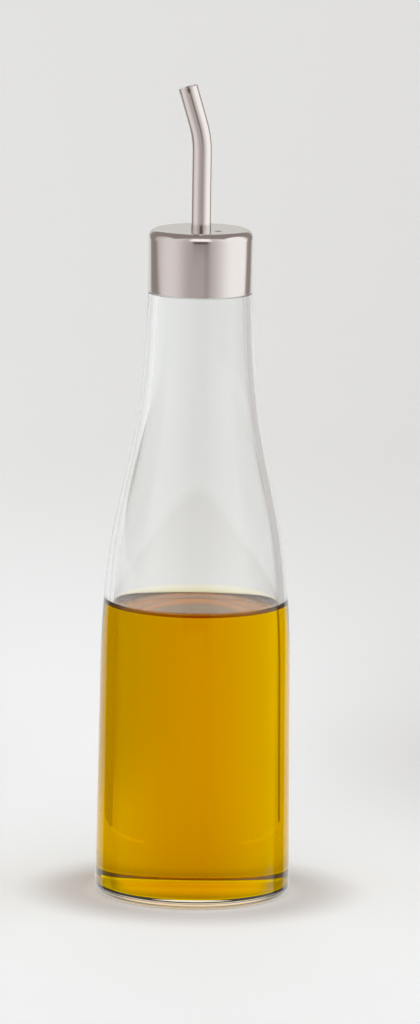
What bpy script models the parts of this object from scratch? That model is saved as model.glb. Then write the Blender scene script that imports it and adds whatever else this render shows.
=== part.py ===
"""Oil dispenser bottle: clear glass, a steel cap with a bent pouring spout, and cooking oil inside."""

import math

import bmesh
import bpy
from mathutils import Vector

# Driving sizes in metres. The bottle stands on z = 0 and its axis is the z axis.
CLEARANCE = 0.0003

# Glass: a foot, a body that narrows a little, an ogee shoulder and a neck that the cap covers.
FOOT_RADIUS = 0.0331
HEEL_RADIUS = 0.0031
BODY_TOP_RADIUS = 0.0322
BODY_TOP_HEIGHT = 0.0793
NECK_RADIUS = 0.0182
NECK_HEIGHT = 0.1919
SEAT_RADIUS = 0.0176
SEAT_HEIGHT = 0.2059
FINISH_RADIUS = 0.0169
LIP_HEIGHT = 0.2220
LIP_ROUNDING = 0.0010
WALL = 0.0033

# The bottle stands on a ring round a shallow hollow, and its floor rises a little over that hollow.
HOLLOW_RADIUS = 0.0278
HOLLOW_HEIGHT = 0.0008
FLOOR_HEIGHT = 0.0030
FLOOR_RISE = 0.0010
INNER_CORNER_RADIUS = 0.0010

# How far the two handles of the ogee reach along the body and along the neck.
LOWER_HANDLE = 0.0602
UPPER_HANDLE = 0.0528

# Oil, which climbs the wall a little where it meets the glass.
OIL_LEVEL = 0.0985
MENISCUS_RISE = 0.0026
MENISCUS_LENGTH = 0.0019
MENISCUS_REACH = 0.0057

# Cap: a drawn steel shell with a round shoulder and one small vent hole.
CAP_RADIUS = 0.01785
CAP_HEIGHT = 0.0214
CAP_ROUNDING = 0.0032
CAP_SHEET = 0.0006
CAP_EDGE = 0.0003
VENT_RADIUS = 0.0011
VENT_DISTANCE = 0.0088
VENT_ANGLE = math.radians(-49)
DRILL_LENGTH = 0.0060

# Spout: a thin steel tube through the middle of the cap, with one bend. Its depth below the
# cap's top and the height of its knee above it are measured along the tube.
SPOUT_RADIUS = 0.00335
SPOUT_SHEET = 0.0004
SPOUT_DEPTH = 0.0030
KNEE_HEIGHT = 0.0306
TIP_LENGTH = 0.0179
BEND_ANGLE = math.radians(16.5)
BEND_RADIUS = 0.035

# How finely the round shapes are divided.
TURN_SEGMENTS = 48
ARC_STEPS = 6
LIP_STEPS = 3
CAP_EDGE_STEPS = 2
OGEE_STEPS = 16
DRILL_SEGMENTS = 16
SPOUT_ROUND_RESOLUTION = 10
BISECTION_STEPS = 40
MERGE_DISTANCE = 1e-6
SHARP_ANGLE = math.radians(40)

GLASS_COLOUR = (0.92, 0.93, 0.92)
OIL_COLOUR = (0.55, 0.29, 0.01)
CAP_COLOUR = (0.62, 0.58, 0.55)
SPOUT_COLOUR = (0.66, 0.62, 0.59)


def clear_scene():
    for leftover in list(bpy.data.objects):
        bpy.data.objects.remove(leftover, do_unlink=True)


def make_material(name, colour, metallic, roughness, transmission=0.0, ior=1.45):
    material = bpy.data.materials.new(name)
    material.use_nodes = True
    shader = material.node_tree.nodes["Principled BSDF"]
    shader.inputs["Base Color"].default_value = (*colour, 1.0)
    shader.inputs["Metallic"].default_value = metallic
    shader.inputs["Roughness"].default_value = roughness
    shader.inputs["Transmission Weight"].default_value = transmission
    shader.inputs["IOR"].default_value = ior
    return material


def arc(centre_radius, centre_height, radius, start, end, steps=ARC_STEPS):
    """Points on a circle in the outline's plane, from one angle in degrees to another."""
    points = []
    for step in range(steps + 1):
        angle = math.radians(start + (end - start) * step / steps)
        points.append(
            (centre_radius + radius * math.cos(angle), centre_height + radius * math.sin(angle))
        )
    return points


def ogee_point(share):
    """A point of the shoulder curve, as (radius, height): share 0 is the body, share 1 the neck."""
    body_taper = (BODY_TOP_RADIUS - FOOT_RADIUS) / (BODY_TOP_HEIGHT - HEEL_RADIUS)
    neck_taper = (SEAT_RADIUS - NECK_RADIUS) / (SEAT_HEIGHT - NECK_HEIGHT)
    body = Vector((BODY_TOP_RADIUS, BODY_TOP_HEIGHT))
    neck = Vector((NECK_RADIUS, NECK_HEIGHT))
    lower = body + LOWER_HANDLE * Vector((body_taper, 1))
    upper = neck - UPPER_HANDLE * Vector((neck_taper, 1))
    rest = 1 - share
    point = (
        rest**3 * body
        + 3 * rest**2 * share * lower
        + 3 * rest * share**2 * upper
        + share**3 * neck
    )
    return point.x, point.y


def ogee_share_at(height):
    """The share of the shoulder curve at a height, found by halving."""
    low, high = 0.0, 1.0
    for _ in range(BISECTION_STEPS):
        middle = (low + high) / 2
        if ogee_point(middle)[1] < height:
            low = middle
        else:
            high = middle
    return (low + high) / 2


def dome(edge_radius, edge_height, rise):
    """Points of a low dome, from its top on the axis out to its edge."""
    shares = [step / ARC_STEPS for step in range(ARC_STEPS + 1)]
    return [(edge_radius * share, edge_height + rise * (1 - share**2)) for share in shares]


def inner_wall(top_share, inset=0.0):
    """The inside of the glass from its floor up to a share of the shoulder, moved in by an inset."""
    floor_radius = FOOT_RADIUS - WALL - INNER_CORNER_RADIUS
    corner_height = FLOOR_HEIGHT + INNER_CORNER_RADIUS
    points = dome(floor_radius, FLOOR_HEIGHT + inset, FLOOR_RISE)
    points += arc(floor_radius, corner_height, INNER_CORNER_RADIUS - inset, -90, 0)[1:]
    steps = max(1, round(OGEE_STEPS * top_share))
    for step in range(steps + 1):
        radius, height = ogee_point(top_share * step / steps)
        points.append((radius - WALL - inset, height))
    return points


def turn(name, outline, closed):
    """A solid of revolution about the z axis from an outline of (radius, height) points."""
    mesh = bpy.data.meshes.new(name)
    shape = bmesh.new()
    corners = [shape.verts.new((radius, 0.0, height)) for radius, height in outline]
    edges = [shape.edges.new(pair) for pair in zip(corners, corners[1:])]
    if closed:
        edges.append(shape.edges.new((corners[-1], corners[0])))
    bmesh.ops.spin(
        shape,
        geom=corners + edges,
        cent=(0, 0, 0),
        axis=(0, 0, 1),
        angle=math.tau,
        steps=TURN_SEGMENTS,
        use_merge=True,
    )
    bmesh.ops.remove_doubles(shape, verts=shape.verts, dist=MERGE_DISTANCE)
    bmesh.ops.recalc_face_normals(shape, faces=shape.faces)
    shape.to_mesh(mesh)
    shape.free()
    mesh.shade_smooth()
    mesh.set_sharp_from_angle(angle=SHARP_ANGLE)
    turned = bpy.data.objects.new(name, mesh)
    bpy.context.collection.objects.link(turned)
    return turned


def build_bottle():
    outline = dome(HOLLOW_RADIUS, 0.0, HOLLOW_HEIGHT)
    outline += arc(FOOT_RADIUS - HEEL_RADIUS, HEEL_RADIUS, HEEL_RADIUS, -90, 0)
    outline += [ogee_point(step / OGEE_STEPS) for step in range(OGEE_STEPS + 1)]
    outline += [(SEAT_RADIUS, SEAT_HEIGHT), (FINISH_RADIUS, SEAT_HEIGHT)]
    bore_radius = SEAT_RADIUS - WALL
    lip_centre = LIP_HEIGHT - LIP_ROUNDING
    outline += arc(FINISH_RADIUS - LIP_ROUNDING, lip_centre, LIP_ROUNDING, 0, 90, LIP_STEPS)
    outline += arc(bore_radius + LIP_ROUNDING, lip_centre, LIP_ROUNDING, 90, 180, LIP_STEPS)
    outline += [(bore_radius, SEAT_HEIGHT)]
    outline += reversed(inner_wall(1.0))
    bottle = turn("bottle", outline, closed=False)
    glass = make_material("clear_glass", GLASS_COLOUR, 0.0, 0.02, transmission=1.0, ior=1.52)
    bottle.data.materials.append(glass)
    return bottle


def build_oil():
    wall = inner_wall(ogee_share_at(OIL_LEVEL + MENISCUS_RISE), inset=CLEARANCE)
    edge_radius = wall[-1][0]
    surface = []
    for step in range(1, ARC_STEPS + 1):
        inward = MENISCUS_REACH * step / ARC_STEPS
        rise = MENISCUS_RISE * math.exp(-inward / MENISCUS_LENGTH)
        surface.append((edge_radius - inward, OIL_LEVEL + rise))
    surface[-1] = (surface[-1][0], OIL_LEVEL)
    oil = turn("oil", wall + surface + [(0.0, OIL_LEVEL)], closed=False)
    golden = make_material("cooking_oil", OIL_COLOUR, 0.0, 0.02, transmission=0.6, ior=1.47)
    oil.data.materials.append(golden)
    return oil


def build_cap():
    """The shell, in its own frame: its rim is at height 0."""
    hole_radius = SPOUT_RADIUS + CLEARANCE
    top_centre = CAP_HEIGHT - CAP_ROUNDING
    flat_radius = CAP_RADIUS - CAP_ROUNDING
    inner_radius = CAP_RADIUS - CAP_SHEET
    outline = [(hole_radius, CAP_HEIGHT)]
    outline += arc(flat_radius, top_centre, CAP_ROUNDING, 90, 0)
    outline += arc(CAP_RADIUS - CAP_EDGE, CAP_EDGE, CAP_EDGE, 0, -90, CAP_EDGE_STEPS)
    outline += [(inner_radius, 0.0)]
    outline += arc(flat_radius, top_centre, CAP_ROUNDING - CAP_SHEET, 0, 90)
    outline += [(hole_radius, CAP_HEIGHT - CAP_SHEET)]
    cap = turn("cap", outline, closed=True)
    cap.location = (0, 0, SEAT_HEIGHT + CLEARANCE)
    cap.data.materials.append(make_material("satin_steel", CAP_COLOUR, 1.0, 0.22))
    drill_vent(cap)
    return cap


def drill_vent(cap):
    mesh = bpy.data.meshes.new("vent_drill")
    shape = bmesh.new()
    bmesh.ops.create_cone(
        shape,
        cap_ends=True,
        segments=DRILL_SEGMENTS,
        radius1=VENT_RADIUS,
        radius2=VENT_RADIUS,
        depth=DRILL_LENGTH,
    )
    shape.to_mesh(mesh)
    shape.free()
    drill = bpy.data.objects.new("vent_drill", mesh)
    bpy.context.collection.objects.link(drill)
    drill.parent = cap
    drill.location = (
        VENT_DISTANCE * math.cos(VENT_ANGLE),
        VENT_DISTANCE * math.sin(VENT_ANGLE),
        CAP_HEIGHT - CAP_SHEET / 2,
    )
    drill.hide_render = True
    drill.display_type = "WIRE"
    cut = cap.modifiers.new("vent", "BOOLEAN")
    cut.operation = "DIFFERENCE"
    cut.object = drill


def build_spout(cap):
    """A tube swept along its centre line, in the cap's frame."""
    bend_start = KNEE_HEIGHT - BEND_RADIUS * math.tan(BEND_ANGLE / 2)
    centre_line = [Vector((0, 0, -SPOUT_DEPTH))]
    for step in range(ARC_STEPS + 1):
        angle = BEND_ANGLE * step / ARC_STEPS
        across = BEND_RADIUS * (1 - math.cos(angle))
        centre_line.append(Vector((-across, 0, bend_start + BEND_RADIUS * math.sin(angle))))
    tip_direction = Vector((-math.sin(BEND_ANGLE), 0, math.cos(BEND_ANGLE)))
    centre_line.append(Vector((0, 0, KNEE_HEIGHT)) + TIP_LENGTH * tip_direction)
    path = bpy.data.curves.new("spout", "CURVE")
    path.dimensions = "3D"
    path.bevel_depth = SPOUT_RADIUS
    path.bevel_resolution = SPOUT_ROUND_RESOLUTION
    spline = path.splines.new("POLY")
    spline.points.add(len(centre_line) - 1)
    for point, place in zip(spline.points, centre_line):
        point.co = (*place, 1.0)
    spout = bpy.data.objects.new("spout", path)
    bpy.context.collection.objects.link(spout)
    bore = spout.modifiers.new("bore", "SOLIDIFY")
    bore.thickness = SPOUT_SHEET
    bore.offset = -1
    spout.parent = cap
    spout.location = (0, 0, CAP_HEIGHT)
    path.materials.append(make_material("polished_steel", SPOUT_COLOUR, 1.0, 0.16))
    return spout


clear_scene()
bottle = build_bottle()
oil = build_oil()
oil.parent = bottle
cap = build_cap()
build_spout(cap)
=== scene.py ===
import math

import bmesh
import bpy
from mathutils import Matrix, Vector


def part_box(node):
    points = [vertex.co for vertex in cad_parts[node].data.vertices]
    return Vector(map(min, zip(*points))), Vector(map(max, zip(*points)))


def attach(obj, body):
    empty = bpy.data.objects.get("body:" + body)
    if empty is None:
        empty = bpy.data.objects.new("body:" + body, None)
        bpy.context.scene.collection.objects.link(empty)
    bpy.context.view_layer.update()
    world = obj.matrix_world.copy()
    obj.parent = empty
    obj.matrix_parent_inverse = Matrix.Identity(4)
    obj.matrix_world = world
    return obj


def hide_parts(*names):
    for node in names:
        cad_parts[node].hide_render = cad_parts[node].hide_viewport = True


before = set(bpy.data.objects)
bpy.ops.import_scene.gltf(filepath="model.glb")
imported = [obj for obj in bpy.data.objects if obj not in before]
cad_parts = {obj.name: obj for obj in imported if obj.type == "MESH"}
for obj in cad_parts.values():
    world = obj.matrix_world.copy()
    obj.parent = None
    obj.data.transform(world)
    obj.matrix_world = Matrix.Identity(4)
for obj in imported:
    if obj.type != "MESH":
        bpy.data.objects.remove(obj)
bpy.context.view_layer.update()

# The glass bottle. One piece of blown soda-lime glass with thick walls: a straight body that narrows a
# little, a long ogee shoulder, a neck, and a narrower finish that the cap slides over. It stands on a
# ring round a shallow hollow, and its floor rises a little over that hollow.
foot_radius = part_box("bottle")[1].x
heel_radius = 0.0031
body_top_radius, body_top_height = 0.0322, 0.0793
neck_radius, neck_height = 0.0182, 0.1919
seat_radius, seat_height = 0.0176, 0.2059
finish_radius = 0.0169
lip_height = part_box("bottle")[1].z
lip_rounding = 0.0010
body_handle, neck_handle = 0.0602, 0.0528
wall = 0.0033
hollow_radius, hollow_height = 0.0278, 0.0008
floor_height, floor_rise = 0.0030, 0.0010
inner_corner = 0.0010


def arc(centre, radius, start, end, steps):
    """Points of (radius, height) on a circle, from one angle in degrees to another."""
    turns = [math.radians(start + (end - start) * step / steps) for step in range(steps + 1)]
    return [(centre[0] + radius * math.cos(a), centre[1] + radius * math.sin(a)) for a in turns]


def shoulder(share):
    """A point of the shoulder's ogee, from the body at share 0 to the neck at share 1."""
    body_taper = (body_top_radius - foot_radius) / (body_top_height - heel_radius)
    neck_taper = (seat_radius - neck_radius) / (seat_height - neck_height)
    body = Vector((body_top_radius, body_top_height))
    neck = Vector((neck_radius, neck_height))
    lower = body + body_handle * Vector((body_taper, 1))
    upper = neck - neck_handle * Vector((neck_taper, 1))
    rest = 1 - share
    point = rest**3 * body + 3 * rest**2 * share * lower + 3 * rest * share**2 * upper + share**3 * neck
    return point.x, point.y


def dome(edge_radius, edge_height, rise, steps=24):
    """Points of a low dome, from its top on the axis out to its edge."""
    shares = [step / steps for step in range(steps + 1)]
    return [(edge_radius * share, edge_height + rise * (1 - share**2)) for share in shares]


def inside_of_glass(into_wall=0.0, steps=180):
    """The inner face from the middle of the floor to the neck, moved into the glass by a little."""
    floor_radius = foot_radius - wall - inner_corner
    points = dome(floor_radius, floor_height - into_wall, floor_rise)
    corner_centre = (floor_radius, floor_height + inner_corner)
    points += arc(corner_centre, inner_corner + into_wall, -90, 0, 16)[1:]
    for step in range(steps + 1):
        radius, height = shoulder(step / steps)
        points.append((radius - wall + into_wall, height))
    return points


def finished(name, shape, crease=40):
    """The bmesh as a smooth object at the origin, with its faces out and its sharp edges kept."""
    bmesh.ops.remove_doubles(shape, verts=shape.verts, dist=1e-7)
    bmesh.ops.recalc_face_normals(shape, faces=shape.faces)
    mesh = bpy.data.meshes.new(name)
    shape.to_mesh(mesh)
    shape.free()
    mesh.shade_smooth()
    mesh.set_sharp_from_angle(angle=math.radians(crease))
    piece = bpy.data.objects.new(name, mesh)
    bpy.context.scene.collection.objects.link(piece)
    return piece


def turned(name, outline, closed=False, slices=240):
    """A piece turned about the bottle's axis from its outline."""
    shape = bmesh.new()
    points = [shape.verts.new((radius, 0, height)) for radius, height in outline]
    lines = [shape.edges.new(pair) for pair in zip(points, points[1:])]
    if closed:
        lines.append(shape.edges.new((points[-1], points[0])))
    bmesh.ops.spin(
        shape, geom=points + lines, cent=(0, 0, 0), axis=(0, 0, 1), angle=math.tau, steps=slices, use_merge=True
    )
    return finished(name, shape)


bore_radius = seat_radius - wall
glass_outline = dome(hollow_radius, 0.0, hollow_height)
glass_outline += arc((foot_radius - heel_radius, heel_radius), heel_radius, -90, 0, 20)
glass_outline += [shoulder(step / 90) for step in range(91)]
glass_outline += [(seat_radius, seat_height), (finish_radius, seat_height)]
lip_centre = lip_height - lip_rounding
glass_outline += arc((finish_radius - lip_rounding, lip_centre), lip_rounding, 0, 90, 8)
glass_outline += arc((bore_radius + lip_rounding, lip_centre), lip_rounding, 90, 180, 8)
glass_outline += [(bore_radius, seat_height)]
glass_outline += reversed(inside_of_glass())
bottle_glass = turned("bottle_glass", glass_outline)

# The oil stands at this level and creeps up the wall a little more, as surface tension makes it.
oil_level = 0.0985
creep_length = 0.00189
creep_height = math.sqrt(2) * creep_length
contact_height = oil_level + creep_height


def mark_wetted(piece, is_wetted):
    """Marks the faces where oil and glass touch."""
    marks = piece.data.attributes.new("wetted", "FLOAT", "FACE").data
    for face in piece.data.polygons:
        centre = face.center
        marks[face.index].value = is_wetted(math.hypot(centre.x, centre.y), centre.z)


mark_wetted(
    bottle_glass,
    lambda radius, height: radius < foot_radius - wall and floor_height * 0.99 < height < contact_height,
)


def linear(colour):
    """An sRGB hex colour as Blender's linear RGBA."""
    shares = [int(colour[place : place + 2], 16) / 255 for place in (1, 3, 5)]
    return (*(s / 12.92 if s <= 0.04045 else ((s + 0.055) / 1.055) ** 2.4 for s in shares), 1)


def add(tree, kind, inputs=(), **settings):
    """A node with its settings, and its inputs set to a value or linked to a socket."""
    made = tree.nodes.new(kind)
    for name, value in settings.items():
        setattr(made, name, value)
    for socket, value in dict(inputs).items():
        if isinstance(value, bpy.types.NodeSocket):
            tree.links.new(value, made.inputs[socket])
        else:
            made.inputs[socket].default_value = value
    return made


def new_material(name):
    """An empty material: its node tree and its output node."""
    material = bpy.data.materials.new(name)
    material.use_nodes = True
    material.node_tree.nodes.clear()
    return material, material.node_tree, material.node_tree.nodes.new("ShaderNodeOutputMaterial")


def step_of_light(tree, open_air, against):
    """The refractive step at a face: to open air, or where the piece touches the next one."""
    wetted = add(tree, "ShaderNodeAttribute", attribute_name="wetted").outputs["Fac"]
    return add(tree, "ShaderNodeMapRange", {0: wetted, 3: open_air, 4: against}).outputs[0]


# Soda-lime glass, blown in a polished mould: clear, with slow waves left by the blowing, 22 mm apart
# and a few thousandths of a millimetre deep, which bend what shows through it a little. Where oil
# wets it, light meets only the small step from glass to oil, and that face all but vanishes.
glass_ior, oil_ior = 1.52, 1.47
wave_length = 0.022
wave_depth = 0.000012
soda_lime, tree, output = new_material("blown_soda_lime_glass")
place = add(tree, "ShaderNodeTexCoord").outputs["Object"]
stretched = add(tree, "ShaderNodeMapping", {"Vector": place, "Scale": (1, 1, 0.35)}).outputs[0]
waves = add(tree, "ShaderNodeTexNoise", {"Vector": stretched, "Scale": 1 / wave_length, "Detail": 1.0})
ripple = add(tree, "ShaderNodeBump", {"Height": waves.outputs[0], "Distance": wave_depth, "Strength": 1.0})
glass_shader = add(
    tree,
    "ShaderNodeBsdfPrincipled",
    {
        "Base Color": linear("#FCFDFC"),
        "Roughness": 0.0,
        "IOR": step_of_light(tree, glass_ior, glass_ior / oil_ior),
        "Transmission Weight": 1.0,
        "Normal": ripple.outputs[0],
    },
)
tree.links.new(glass_shader.outputs[0], output.inputs["Surface"])
bottle_glass.data.materials.append(soda_lime)
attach(bottle_glass, "root")
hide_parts("bottle")

# The oil. Clear golden cooking oil, poured in to just over a third of the height. It fills the bottle to
# the glass, reaching a little into the wall so that no air shows between, and climbs it at its edge.
reach = 0.00006


def creep_distance(rise):
    """How far from the wall the oil stands this much above its level, as surface tension shapes it."""

    def part(height):
        share = height / creep_length
        return math.acosh(2 / share) - math.sqrt(4 - share**2)

    return creep_length * (part(rise) - part(creep_height))


oil_outline = [point for point in inside_of_glass(reach) if point[1] < contact_height - 0.0005]
share = 0.0
while shoulder(share)[1] < contact_height:
    share += 0.0005
edge_radius = shoulder(share)[0] - wall
oil_outline += [(edge_radius + reach, contact_height)]
for step in range(29):
    rise = creep_height * (1 - step / 29) ** 1.6
    oil_outline.append((edge_radius - creep_distance(rise), oil_level + rise))
oil_outline += [(edge_radius * step / 8, oil_level) for step in range(5, -1, -1)]
oil_body = turned("oil_body", oil_outline)
mark_wetted(
    oil_body, lambda radius, height: height < oil_level - reach or radius > edge_radius + reach / 4
)

# Refined cooking oil: it takes nearly all the blue and some of the green out of the light, so its
# colour deepens with the way that the light has through it.
golden_oil, tree, output = new_material("golden_cooking_oil")
place = add(tree, "ShaderNodeTexCoord").outputs["Object"]
drift = add(tree, "ShaderNodeTexNoise", {"Vector": place, "Scale": 1 / 0.015, "Detail": 2.0})
tint = add(
    tree,
    "ShaderNodeMix",
    {"Factor": drift.outputs[0], 6: linear("#FFFDF6"), 7: linear("#FFFCF0")},
    data_type="RGBA",
)
oil_shader = add(
    tree,
    "ShaderNodeBsdfPrincipled",
    {
        "Base Color": tint.outputs[2],
        "Roughness": 0.0,
        "IOR": step_of_light(tree, oil_ior, 1.0),
        "Transmission Weight": 1.0,
    },
)
depth_colour = add(
    tree, "ShaderNodeVolumeAbsorption", {"Color": (0.956, 0.865, 0.08, 1), "Density": 120.0}
)
tree.links.new(oil_shader.outputs[0], output.inputs["Surface"])
tree.links.new(depth_colour.outputs[0], output.inputs["Volume"])
oil_body.data.materials.append(golden_oil)
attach(oil_body, "root")
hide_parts("oil")

# The cap. A shell of thin stainless steel sheet, drawn over a punch to a round shoulder, trimmed at its
# lower edge and polished on a lathe. It hides the bottle's finish. One vent hole is drilled in its top.
cap_low, cap_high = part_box("cap")
cap_radius = cap_high.x
cap_rounding = 0.0032
cap_sheet = 0.0006
cap_edge = 0.00025
spout_radius = 0.00335
vent_radius = 0.0011
vent_distance = 0.0088
vent_angle = math.radians(-49)
fit_gap = 0.00004

flat_radius = cap_radius - cap_rounding
rounding_centre = (flat_radius, cap_high.z - cap_rounding)
hole_radius = spout_radius + fit_gap
cap_outline = [(hole_radius, cap_high.z)]
cap_outline += [(hole_radius + (flat_radius - hole_radius) * step / 12, cap_high.z) for step in range(1, 12)]
cap_outline += arc(rounding_centre, cap_rounding, 90, 0, 24)
cap_outline += arc((cap_radius - cap_edge, cap_low.z + cap_edge), cap_edge, 0, -90, 6)
cap_outline += arc(
    (cap_radius - cap_sheet + cap_edge / 2, cap_low.z + cap_edge / 2), cap_edge / 2, -90, -180, 4
)
cap_outline += arc(rounding_centre, cap_rounding - cap_sheet, 0, 90, 12)
cap_outline += [(hole_radius, cap_high.z - cap_sheet)]
cap_shell = turned("cap_shell", cap_outline, closed=True, slices=192)

drill = turned(
    "vent_drill",
    [(0, -0.003), (vent_radius, -0.003), (vent_radius, -0.00012), (vent_radius * 1.25, 0.0002), (0, 0.0002)],
    slices=32,
)
vent_place = Vector((vent_distance * math.cos(vent_angle), vent_distance * math.sin(vent_angle), cap_high.z))
drill.data.transform(Matrix.Translation(vent_place))
drilled = cap_shell.modifiers.new("vent", "BOOLEAN")
drilled.operation = "DIFFERENCE"
drilled.object = drill
graph = bpy.context.evaluated_depsgraph_get()
cap_shell.data = bpy.data.meshes.new_from_object(cap_shell.evaluated_get(graph))
cap_shell.modifiers.clear()
bpy.data.objects.remove(drill)


def turned_steel(name, colour, roughness, line_spacing, line_depth):
    """Stainless steel polished on a lathe: fine rings round the axis, and faint patches of wear."""
    steel, tree, output = new_material(name)
    place = add(tree, "ShaderNodeTexCoord").outputs["Object"]
    axes = add(tree, "ShaderNodeSeparateXYZ", {0: place})
    flat = add(tree, "ShaderNodeCombineXYZ", {0: axes.outputs[0], 1: axes.outputs[1]})
    from_axis = add(tree, "ShaderNodeVectorMath", {0: flat.outputs[0]}, operation="LENGTH")
    ring_place = add(tree, "ShaderNodeCombineXYZ", {0: from_axis.outputs[1], 1: axes.outputs[2]})
    rings = add(
        tree,
        "ShaderNodeTexNoise",
        {"Vector": ring_place.outputs[0], "Scale": 1 / line_spacing, "Detail": 2.0},
        noise_dimensions="2D",
    )
    patches = add(tree, "ShaderNodeTexNoise", {"Vector": place, "Scale": 1 / 0.006, "Detail": 4.0})
    shine = add(
        tree,
        "ShaderNodeMapRange",
        {"Value": patches.outputs[0], 1: 0.3, 2: 0.7, 3: roughness * 0.9, 4: roughness * 1.1},
    )
    grooves = add(
        tree,
        "ShaderNodeBump",
        {"Height": rings.outputs[0], "Distance": line_depth, "Strength": 1.0},
    )
    shader = add(
        tree,
        "ShaderNodeBsdfPrincipled",
        {
            "Base Color": linear(colour),
            "Metallic": 1.0,
            "Roughness": shine.outputs[0],
            "Normal": grooves.outputs[0],
        },
    )
    tree.links.new(shader.outputs[0], output.inputs["Surface"])
    return steel


cap_shell.data.materials.clear()
cap_shell.data.materials.append(turned_steel("satin_stainless_steel", "#CBC6C4", 0.16, 0.0005, 0.0000008))
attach(cap_shell, "root")
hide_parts("cap")

# The spout. A length of thin stainless tube, bent once on a roller, cut off square with its edge
# broken, and pressed through the middle of the cap.
spout_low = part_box("spout")[0]
spout_sheet = 0.0004
knee_height = cap_high.z + 0.0306
tip_length = 0.0179
bend_angle = math.radians(16.5)
bend_radius = 0.035
bend_steps = 32

shape = bmesh.new()
bmesh.ops.create_circle(
    shape, segments=72, radius=spout_radius, matrix=Matrix.Translation((0, 0, spout_low.z))
)


def drawn_on(shape, edges, move, steps):
    """Draws the open end of a tube on along a straight line."""
    for _ in range(steps):
        grown = bmesh.ops.extrude_edge_only(shape, edges=edges)["geom"]
        edges = [part for part in grown if isinstance(part, bmesh.types.BMEdge)]
        corners = [part for part in grown if isinstance(part, bmesh.types.BMVert)]
        ring = [edge for edge in edges if all(corner in corners for corner in edge.verts)]
        bmesh.ops.translate(shape, verts=corners, vec=move / steps)
        edges = ring
    return edges


bend_start = knee_height - bend_radius * math.tan(bend_angle / 2)
end = drawn_on(shape, shape.edges[:], Vector((0, 0, bend_start - spout_low.z)), 8)
end_corners = list({corner for edge in end for corner in edge.verts})
bent = bmesh.ops.spin(
    shape,
    geom=end + end_corners,
    cent=(-bend_radius, 0, bend_start),
    axis=(0, -1, 0),
    angle=bend_angle,
    steps=bend_steps,
)["geom_last"]
tip_direction = Vector((-math.sin(bend_angle), 0, math.cos(bend_angle)))
straight = tip_length - bend_radius * math.tan(bend_angle / 2)
drawn_on(shape, [part for part in bent if isinstance(part, bmesh.types.BMEdge)], straight * tip_direction, 6)
bmesh.ops.remove_doubles(shape, verts=shape.verts, dist=1e-7)
bmesh.ops.recalc_face_normals(shape, faces=shape.faces)
spout_tube = finished("spout_tube", shape)
wall_of_tube = spout_tube.modifiers.new("sheet", "SOLIDIFY")
wall_of_tube.thickness = spout_sheet
wall_of_tube.offset = -1
broken_edge = spout_tube.modifiers.new("broken_edge", "BEVEL")
broken_edge.width = 0.0001
broken_edge.segments = 3
broken_edge.limit_method = "ANGLE"
broken_edge.angle_limit = math.radians(50)
spout_tube.data.materials.append(turned_steel("polished_stainless_tube", "#D0CBC8", 0.14, 0.0004, 0.0000005))
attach(spout_tube, "root")
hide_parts("spout")

# The table. A pale matt sheet, a hair under the glass so that the foot stands on it and no face is shared. It
# glows with painted light as if lit from below, brighter to the left behind the bottle than to the right and in
# the middle behind it, and with a painted shadow in a ring close round the foot. The steel reflects the tent in
# its place.
table_top = -0.0001
shape = bmesh.new()
bmesh.ops.create_grid(shape, x_segments=1, y_segments=1, size=6)
bmesh.ops.translate(shape, verts=shape.verts, vec=(0, 0, table_top))
table = finished("table", shape)
table.visible_glossy = False
matt_board, tree, output = new_material("matt_painted_board")
place = add(tree, "ShaderNodeTexCoord").outputs["Object"]
mottle = add(tree, "ShaderNodeTexNoise", {"Vector": place, "Scale": 1 / 0.04, "Detail": 6.0})
paint = add(
    tree,
    "ShaderNodeMix",
    {"Factor": mottle.outputs[0], 6: linear("#E9EAEB"), 7: linear("#EDEEEF")},
    data_type="RGBA",
)


def reckon(tree, operation, *values):
    """A sum or another step of arithmetic on numbers and sockets."""
    return add(tree, "ShaderNodeMath", dict(enumerate(values)), operation=operation).outputs[0]


def rise(tree, value, place, soft):
    """Grows from 0 to 1 as a value passes a place, over this much on either side."""
    limits = {0: value, 1: place - soft, 2: place + soft}
    return add(tree, "ShaderNodeMapRange", limits, interpolation_type="SMOOTHSTEP").outputs[0]


across, back, _ = add(tree, "ShaderNodeSeparateXYZ", {0: place}).outputs
distance = add(tree, "ShaderNodeVectorMath", {0: place}, operation="LENGTH").outputs["Value"]
# Painted light and shade: the glow is dimmed to the right behind the bottle and raised in the middle behind it.
aside = reckon(tree, "DIVIDE", across, reckon(tree, "MAXIMUM", distance, 0.01))
aside = reckon(tree, "MULTIPLY", aside, rise(tree, distance, 0.18, 0.12))
aside = reckon(tree, "MULTIPLY", aside, rise(tree, back, 0.04, 0.05))
middle = reckon(tree, "SUBTRACT", 1.0, rise(tree, reckon(tree, "ABSOLUTE", aside), 0.25, 0.25))
middle = reckon(tree, "MULTIPLY", middle, reckon(tree, "SUBTRACT", 1.0, rise(tree, distance, 0.6, 0.4)))
glow = reckon(tree, "ADD", reckon(tree, "MULTIPLY", middle, 0.14), 0.19)
glow = reckon(tree, "MAXIMUM", reckon(tree, "SUBTRACT", glow, reckon(tree, "MULTIPLY", aside, 0.25)), 0.0)
# Painted shadow: the glow is cut down in a ring close round the foot.
painted_foot_shadow = reckon(tree, "SUBTRACT", rise(tree, distance, 0.033, 0.006), rise(tree, distance, 0.052, 0.012))
glow = reckon(tree, "MULTIPLY", glow, reckon(tree, "SUBTRACT", 1.0, reckon(tree, "MULTIPLY", painted_foot_shadow, 0.7)))
board_shader = add(
    tree,
    "ShaderNodeBsdfPrincipled",
    {
        "Base Color": paint.outputs[2],
        "Roughness": 0.9,
        "Emission Color": linear("#F4FDFF"),
        "Emission Strength": glow,
    },
)
tree.links.new(board_shader.outputs[0], output.inputs["Surface"])
table.data.materials.append(matt_board)

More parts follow.
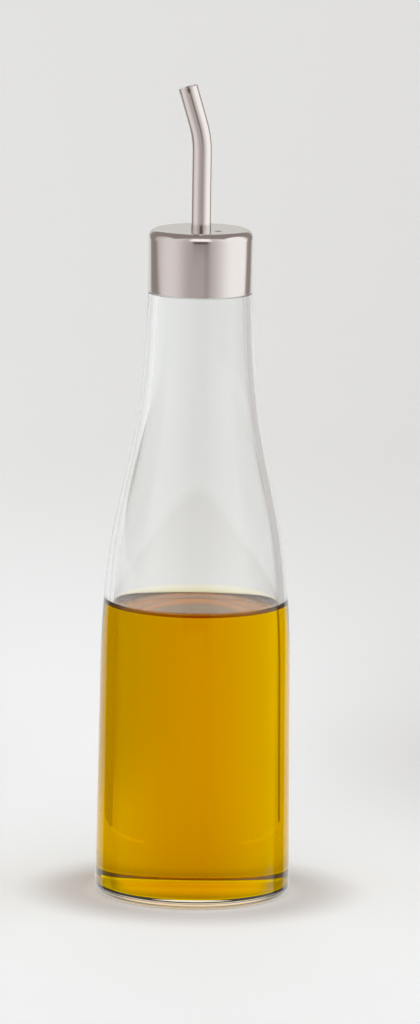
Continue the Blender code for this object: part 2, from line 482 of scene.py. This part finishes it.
# The cards. Two strips of grey card stand close behind the bottle and two white strips lie between them, all
# glowing with painted light. The camera sees them only through the oil, as its dark edges (painted shade) and a
# bright line near its floor (painted light).
card_distance, card_height, card_thickness = 0.095, 0.078, 0.001
strip_near, strip_far, strip_thickness = 0.0930, 0.0970, 0.0005


def place_card(name, corners, colour):
    """A card between two corners that glows with painted light, seen only through the glass."""
    (left, near, low), (right, far, high) = corners
    shape = bmesh.new()
    bmesh.ops.create_cube(shape, size=1)
    bmesh.ops.scale(shape, verts=shape.verts, vec=(right - left, far - near, high - low))
    middle = ((left + right) / 2, (near + far) / 2, (low + high) / 2)
    bmesh.ops.translate(shape, verts=shape.verts, vec=middle)
    card = finished(name, shape)
    painted_light_card, tree, output = new_material(name + "_board")
    shine = add(tree, "ShaderNodeEmission", {"Color": linear(colour)})
    tree.links.new(shine.outputs[0], output.inputs["Surface"])
    card.data.materials.append(painted_light_card)
    # Painted light: it casts no light or shadow and shows only through the glass.
    card.visible_camera = card.visible_diffuse = card.visible_glossy = card.visible_shadow = False


card_back = card_distance + card_thickness
place_card("left_card", ((0.054, card_distance, 0.0), (0.083, card_back, card_height)), "#C8C4C0")
place_card("right_card", ((-0.077, card_distance, 0.0), (-0.069, card_back, card_height)), "#A59E99")
place_card("left_strip", ((0.018, strip_near, 0.0), (0.054, strip_far, strip_thickness)), "#F4F4F4")
place_card("right_strip", ((-0.069, strip_near, 0.0), (-0.018, strip_far, strip_thickness)), "#F4F4F4")

# The light. A soft tent round the bottle: a white backdrop, a bright wall on the right and a softer one
# on the left, each fading towards the darker front, and a dark seam where the backdrop meets the walls
# and the roof. A lamp over the camera lights the front edge of the cap, and the camera itself is dark.
# What shows through the glass is plainer: a grey band low round the back, and a warm part in its middle.
world = bpy.data.worlds.new("light_tent")
bpy.context.scene.world = world
world.use_nodes = True
tree = world.node_tree
tree.nodes.clear()
output = tree.nodes.new("ShaderNodeOutputWorld")
direction = add(tree, "ShaderNodeTexCoord").outputs["Generated"]
across, back, up = add(tree, "ShaderNodeSeparateXYZ", {0: direction}).outputs
azimuth = reckon(tree, "ARCTAN2", across, reckon(tree, "MULTIPLY", back, -1.0))
elevation = reckon(tree, "ARCSINE", up)


def between(tree, value, limits, softs):
    """1 between two limits and 0 outside them."""
    above = rise(tree, value, limits[0], softs[0])
    return reckon(tree, "SUBTRACT", above, rise(tree, value, limits[1], softs[1]))


def panel(tree, behind, inside, colour, strength=1.0):
    """Paints a panel of the tent in front of what is there."""
    shade = [part * strength for part in linear(colour)[:3]]
    return add(tree, "ShaderNodeMix", {"Factor": inside, 6: behind, 7: (*shade, 1)}, data_type="RGBA").outputs[2]


def wall_panel(tree, behind, sides, softs, colour, strength, heights=(-95, 62), fade=4):
    """A panel between two angles round the bottle and two heights, all in degrees."""
    round_it = between(tree, azimuth, [math.radians(s) for s in sides], [math.radians(s) for s in softs])
    upright = between(tree, elevation, [math.radians(h) for h in heights], [math.radians(fade)] * 2)
    return panel(tree, behind, reckon(tree, "MULTIPLY", round_it, upright), colour, strength)


tent = add(tree, "ShaderNodeRGB").outputs[0]
tent.default_value = tuple(0.97 * part for part in linear("#FDFFFE")[:3]) + (1,)
tent = wall_panel(tree, tent, (-132, 128), (6, 6), "#D3CCCC", 1.0)
tent = wall_panel(tree, tent, (-102, -43), (26, 23), "#FFFCFB", 1.07)
tent = wall_panel(tree, tent, (44, 120), (33, 5), "#FFFFFF", 1.42)
low_band = between(tree, elevation, (math.radians(-1), math.radians(20)), (math.radians(3), math.radians(3)))
low_band = reckon(tree, "MULTIPLY", low_band, rise(tree, back, -0.2, 0.2))
low_behind = between(tree, elevation, (math.radians(1), math.radians(15)), (math.radians(3), math.radians(3)))
low_behind = reckon(tree, "MULTIPLY", low_behind, rise(tree, back, 0.80, 0.08))
plain_tent = panel(tree, tent, low_band, "#B0A9A4")
plain_tent = panel(tree, plain_tent, low_behind, "#FFE6CE", 0.97)
tent = panel(tree, tent, low_behind, "#DFDDD8")
tent = wall_panel(tree, tent, (8, 19), (3, 3), "#C0BAB8", 1.0, heights=(-95, 20))
tent = wall_panel(tree, tent, (-27, 27), (4, 4), "#FFFBF9", 1.6, heights=(29, 60))
tent = wall_panel(tree, tent, (-17, 17), (2, 2), "#746C68", 1.0, heights=(-5, 27), fade=1.5)
off_centre = reckon(tree, "ABSOLUTE", reckon(tree, "ADD", across, 0.035))
seam = rise(tree, reckon(tree, "ADD", off_centre, reckon(tree, "MULTIPLY", up, 0.68)), 0.522, 0.03)
wall_edge = rise(tree, reckon(tree, "ADD", off_centre, reckon(tree, "MULTIPLY", up, 0.25)), 0.8675, 0.03)
seam = reckon(tree, "MULTIPLY", seam, reckon(tree, "SUBTRACT", 1.0, wall_edge))
not_in_front = rise(tree, reckon(tree, "ADD", back, reckon(tree, "MULTIPLY", up, 0.45)), 0.0, 0.05)
tent = panel(tree, tent, reckon(tree, "MULTIPLY", seam, not_in_front), "#A59E99")
through_glass = add(tree, "ShaderNodeLightPath").outputs["Is Transmission Ray"]
tent = add(tree, "ShaderNodeMix", {"Factor": through_glass, 6: tent, 7: plain_tent}, data_type="RGBA").outputs[2]
background = add(tree, "ShaderNodeBackground", {"Color": tent})
tree.links.new(background.outputs[0], output.inputs["Surface"])

# The camera, a long lens 2.5 m away, a little above the bottle and turned by under a degree.
camera_data = bpy.data.cameras.new("camera")
camera_data.lens = 263.7
camera_distance = 2.541
camera_pitch = math.radians(9.39)
camera_roll = 0.0142
aim_height = 0.1309
aside = 0.00434
camera = bpy.data.objects.new("camera", camera_data)
camera.location = (
    aside,
    -camera_distance * math.cos(camera_pitch),
    aim_height + camera_distance * math.sin(camera_pitch),
)
camera.rotation_mode = "QUATERNION"
tilt = Matrix.Rotation(math.pi / 2 - camera_pitch, 4, "X")
roll = Matrix.Rotation(camera_roll, 4, "Z")
camera.rotation_quaternion = (tilt @ roll).to_quaternion()
camera_data.clip_start, camera_data.clip_end = 0.05, 50
bpy.context.scene.collection.objects.link(camera)
bpy.context.scene.camera = camera
bpy.context.scene.view_settings.view_transform = "Standard"
bpy.context.scene.cycles.max_bounces = 32
bpy.context.scene.cycles.transmission_bounces = 32

# The film. It draws strong colours a little stronger than they are, and leaves greys alone.
film_saturation = 1.20
bpy.context.scene.use_nodes = True
tree = bpy.context.scene.node_tree
tree.nodes.clear()
exposed = tree.nodes.new("CompositorNodeRLayers")
developed = add(
    tree, "CompositorNodeHueSat", {"Image": exposed.outputs["Image"], "Saturation": film_saturation}
)
add(tree, "CompositorNodeComposite", {"Image": developed.outputs["Image"]})
